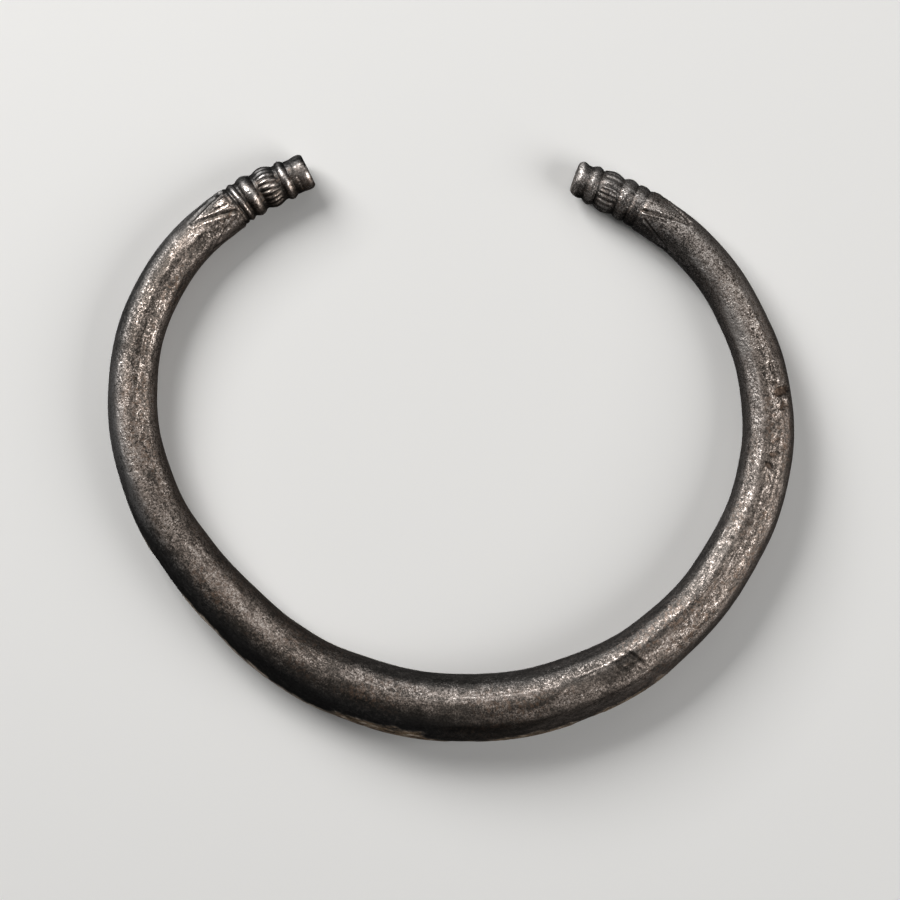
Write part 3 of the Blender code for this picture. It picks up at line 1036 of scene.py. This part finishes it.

# Dirt, crust, and a cool cast that takes away the silver's warmth: thin tarnish, and painted cool shade on
# the bar's sides and edges.
SPECK_FADE = (0.48, 0.64)
SPECKS_BY_CLOUD = (0.42, 0.58, 0.15, 1)
DIRT_IN_PITS = (0, -0.1, 0, 0.8)
PITTED_ZONE = ((120, 130), (150, 156))
DIRT_SHARE = 0.5
COOL_INNER = ((-1.6, -2.8, 0, 0.3), (-0.2, -1.2, 0, 0.22))
COOL_INNER_ZONE = (64, 84)
COOL_OUTER = (0.4, 2.2, 0, 0.75)
COOL_OUTER_ZONE = (80, 92, 1, 0)
COOL_OUTER_EDGE = (1.8, 2.8, 0, 0.15)
COOL_RINGS = (-1.6, 0.4, -0.1, 0.3)
COOL_RIGHT = (150, 162, 0, 0.2)
COOLEST = 0.75
WARMEST = 0.96
TAN_FLAKES = (0.36, 0.54)
PALE_FLAKES = (0.52, 0.66)
PALE_ON_LEFT = (76, 73, 0, 0.7)
PALE_ON_TOP = (-0.4, 0.7, 0.15, 1)

# Roughness by the share of bare metal, and how crust and wear change it and the metal.
ROUGHNESS = (0.2, 0.8, 0.52, 0.38)
CRUST_ROUGHER = 0.2
RIM_ROUGHER = 0.2
LEFT_RINGS_SMOOTHER = 0.06
CRUST_LESS_METAL = 0.75
RIM_LESS_METAL = 0.35


def colour(value):
    return value if isinstance(value, Term) else (*value, 1.0)


def blend(tree, share, a, b):
    """Mixes two colours."""
    sockets = {"Factor": share, "A": colour(a), "B": colour(b)}
    return tree.node("ShaderNodeMix", {"data_type": "RGBA"}, sockets, "Result")


def attribute(tree, name, output="Fac"):
    return tree.node("ShaderNodeAttribute", {"attribute_name": name}, {}, output)


def spread(term, amount):
    """Noise from 0 to 1 as plus or minus an amount, taken at one standard deviation."""
    return (term - 0.5) * (amount / NOISE_SPREAD)


class Skin:
    """What the finish knows at each point of the silver."""

    def __init__(self, tree):
        self.tree = tree
        self.place = attribute(tree, "bar_place", "Vector")
        self.relief = attribute(tree, "relief")
        self.crust = attribute(tree, "crust")
        self.cut = attribute(tree, "cut")
        self.grained = attribute(tree, "grained")
        self.tarnish = attribute(tree, "tarnish")
        split = tree.node("ShaderNodeSeparateXYZ", {}, {"Vector": self.place}, ("X", "Y", "Z"))
        self.across, self.height, self.reach = split
        self.grains = [noise(self.place, kind) for kind, tone, height in GRAIN]
        self.fine = noise(self.place, FINE_ETCHING)
        self.drawn = noise(self.place, DRAWN_MARKS)
        self.clouds = noise(self.place, CLOUDS)
        self.patches = noise(self.place, PATCHES)
        self.flakes = noise(self.place, FLAKES)
        self.left_rings = ease(self.reach, *LEFT_RINGS)
        self.right_rings = ease(self.reach, *RIGHT_RINGS)
        self.rim_wear_and_highlight = ease(self.reach, *RIM_WEAR_AND_HIGHLIGHT)


def grain_kept(skin):
    """How strongly the etched grain shows."""
    kept = ramp(skin.grained, *GRAIN_BY_ZONE) * ramp(skin.patches, *GRAIN_BY_PATCH)
    kept = kept * (1.0 - skin.left_rings * GRAIN_OFF_LEFT_RINGS)
    kept = kept * ease(skin.reach, *GRAIN_TO_RIGHT) * ease(skin.reach, *GRAIN_ON_RIGHT_RINGS)
    kept = kept * ease(skin.cut, *GRAIN_IN_CUTS)
    return kept * (stretch(skin.reach, *COARSE_ZONE) * COARSER + 1.0)


def silver_tone(skin, kept):
    """How bright the silver is, painted highlights and painted shade included: 0 as usual, 1 for e times as
    much bare metal.
    """
    grain = sum_of([spread(grain, tone) for grain, (kind, tone, height) in zip(skin.grains, GRAIN)])
    patches = spread(skin.patches, PATCH_TONE) * ramp(skin.grained, *PATCHES_BY_ZONE)
    fine = spread(skin.fine, FINE_TONE) * ease(skin.reach, *FINE_TO_RIGHT)
    tone = grain * kept + patches + fine
    tone = tone + spread(skin.drawn, DRAWN_TONE) + spread(skin.clouds, CLOUD_TONE)
    hollows = ease(skin.relief, *HOLLOWS) * (skin.left_rings * HOLLOWS_OF_LEFT_RINGS + 1.0)
    engraved = ease(skin.cut, *ENGRAVED) * skin.left_rings
    raised = sum_of([ease(skin.relief, *part) for part in RAISED])
    # the patches add tarnish and wear, and also painted highlights and painted shade
    tone = tone + hollows - engraved + raised + skin.tarnish
    # painted highlight on the right tip's rim, along with its wear
    tone = tone + skin.rim_wear_and_highlight * RIM_HIGHLIGHT_TONE + skin.right_rings * RIGHT_RINGS_TONE
    return tone + sum_of([ease(skin.reach, *part) for part in TONES_ALONG])


def brown_dirt(skin):
    """Brown dirt in specks and in the pits."""
    specks = ease(noise(skin.place, SPECKS), *SPECK_FADE) * ease(skin.clouds, *SPECKS_BY_CLOUD)
    in_pits = ease(skin.relief, *DIRT_IN_PITS) * stretch(skin.reach, *PITTED_ZONE)
    return most(specks, in_pits) * DIRT_SHARE


def cool_tarnish_and_shade(skin):
    """How much of the silver's warmth is gone: thin tarnish, and painted cool shade on the sides."""
    cool = sum_of([ease(skin.across, *part) for part in COOL_INNER])
    cool = cool * ease(skin.reach, *COOL_INNER_ZONE)
    cool = cool + ease(skin.across, *COOL_OUTER) * ease(skin.reach, *COOL_OUTER_ZONE)
    cool = cool + (skin.left_rings + skin.right_rings) * ease(skin.across, *COOL_RINGS)
    cool = cool + ease(skin.across, *COOL_OUTER_EDGE) + ease(skin.reach, *COOL_RIGHT)
    return least(cool, COOLEST)


def old_silver():
    """Old silver: etched grain, dark in the hollows and bright where it is worn, with painted highlights
    and painted shade in patches, a painted highlight on the right tip's rim and painted cool shade on the
    sides.
    """
    material = bpy.data.materials.new("old_silver")
    material.use_nodes = True
    material.node_tree.nodes.clear()
    tree = Tree(material.node_tree)
    skin = Skin(tree)
    kept = grain_kept(skin)

    # silver, dirt and crust
    share = tree.math("EXPONENT", silver_tone(skin, kept)) * USUAL_SHARE
    base = tree.node("ShaderNodeValToRGB", {"stops": TARNISH_TONES}, {"Fac": share}, "Color")
    base = blend(tree, brown_dirt(skin), base, WARM_BROWN)
    # less warmth where the cool cast lies: thin tarnish and painted cool shade on the sides
    sockets = {"Saturation": WARMEST - cool_tarnish_and_shade(skin), "Color": base}
    base = tree.node("ShaderNodeHueSaturation", {}, sockets)
    tan = ease(skin.flakes, *TAN_FLAKES)
    crusted = blend(tree, tan, OLIVE_CRUST, TAN_CRUST)
    pale = ease(skin.flakes, *PALE_FLAKES) + ease(skin.reach, *PALE_ON_LEFT)
    crusted = blend(tree, pale * ease(skin.height, *PALE_ON_TOP), crusted, PALE_CRUST)
    base = blend(tree, skin.crust, base, crusted)

    bumps = [(grain - 0.5) * height for grain, (kind, tone, height) in zip(skin.grains, GRAIN)]
    bumps = sum_of(bumps) * kept + skin.drawn * DRAWN_HEIGHT + tan * skin.crust * CRUST_HEIGHT
    sockets = {"Strength": 1.0, "Distance": HEIGHT_UNIT, "Height": bumps}
    normal = tree.node("ShaderNodeBump", {}, sockets)
    rough = ease(share, *ROUGHNESS) + skin.crust * CRUST_ROUGHER + skin.rim_wear_and_highlight * RIM_ROUGHER
    rough = rough - skin.left_rings * LEFT_RINGS_SMOOTHER
    metal = 1.0 - skin.crust * CRUST_LESS_METAL - skin.rim_wear_and_highlight * RIM_LESS_METAL
    surface = {"Base Color": base, "Metallic": metal, "Roughness": rough, "Normal": normal}
    shader = tree.node("ShaderNodeBsdfPrincipled", {}, surface, "BSDF")
    tree.node("ShaderNodeOutputMaterial", {}, {"Surface": shader})
    return material


def silver_hoop():
    """The bracelet itself."""
    guide = centre_line()
    values = {"Centre line": guide, "Silver": old_silver()}
    hoop = made_by_nodes("silver_hoop", hoop_nodes(), values)
    bpy.data.objects.remove(guide)
    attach(hoop, "root")
    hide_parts("bracelet")


# --- The table, the light and the camera -----------------------------------------------------
TABLE_HALF = 2.0  # half its side, in metres
TABLE_COLOUR = (0.86, 0.85, 0.83, 1)
TABLE_ROUGHNESS = 0.9
LIGHT_DISTANCE = 0.60
LIGHTS = (  # name, direction, side and power
    ("light_from_left", (-0.96, 1.06, 1.0), 0.32, 3.6),
    ("light_from_right", (1.38, -0.40, 1.0), 0.40, 1.87),
    ("light_from_behind", (0.30, 0.90, 1.0), 0.40, 0.3),
)
SURROUND = (1, 1, 1, 1)
SURROUND_STRENGTH = 0.02
LENS = 120.0
SENSOR = 36.0
NEAREST = 0.01
VIEW_WIDTH = 98.55 * MM  # as seen at VIEW_LEVEL above the table
VIEW_LEVEL = 3.0 * MM
VIEW_MIDDLE = (-0.1 * MM, -0.34 * MM)


def pale_table():
    """A plain pale floor under the bracelet."""
    side = TABLE_HALF
    mesh = bpy.data.meshes.new("pale_table")
    corners = [(-side, -side, 0), (side, -side, 0), (side, side, 0), (-side, side, 0)]
    mesh.from_pydata(corners, [], [(0, 1, 2, 3)])
    table = bpy.data.objects.new("pale_table", mesh)
    put_in_scene(table)
    material = bpy.data.materials.new("pale_card")
    material.use_nodes = True
    shader = material.node_tree.nodes["Principled BSDF"]
    shader.inputs["Base Color"].default_value = TABLE_COLOUR
    shader.inputs["Roughness"].default_value = TABLE_ROUGHNESS
    mesh.materials.append(material)
    table.visible_glossy = False


def soft_light(name, direction, side, power):
    """A square soft light, aimed at the bracelet from a direction."""
    lamp = bpy.data.lights.new(name, "AREA")
    lamp.shape = "SQUARE"
    lamp.size = side
    lamp.energy = power
    light = bpy.data.objects.new(name, lamp)
    light.location = Vector(direction).normalized() * LIGHT_DISTANCE
    light.rotation_euler = Vector(direction).to_track_quat("Z", "Y").to_euler()
    put_in_scene(light)


def studio():
    """Three soft lights, and a dim even surround."""
    for name, direction, side, power in LIGHTS:
        soft_light(name, direction, side, power)
    world = bpy.data.worlds.new("studio")
    bpy.context.scene.world = world
    world.use_nodes = True
    background = world.node_tree.nodes["Background"]
    background.inputs["Color"].default_value = SURROUND
    background.inputs["Strength"].default_value = SURROUND_STRENGTH
    bpy.context.scene.view_settings.view_transform = "Standard"


def camera():
    """Looks straight down at the middle of the hoop."""
    lens = bpy.data.cameras.new("camera")
    lens.lens = LENS
    lens.sensor_width = SENSOR
    lens.clip_start = NEAREST
    view = bpy.data.objects.new("camera", lens)
    view.location = (*VIEW_MIDDLE, VIEW_LEVEL + VIEW_WIDTH * LENS / SENSOR)
    put_in_scene(view)
    bpy.context.scene.camera = view


camera()
studio()
pale_table()
silver_hoop()
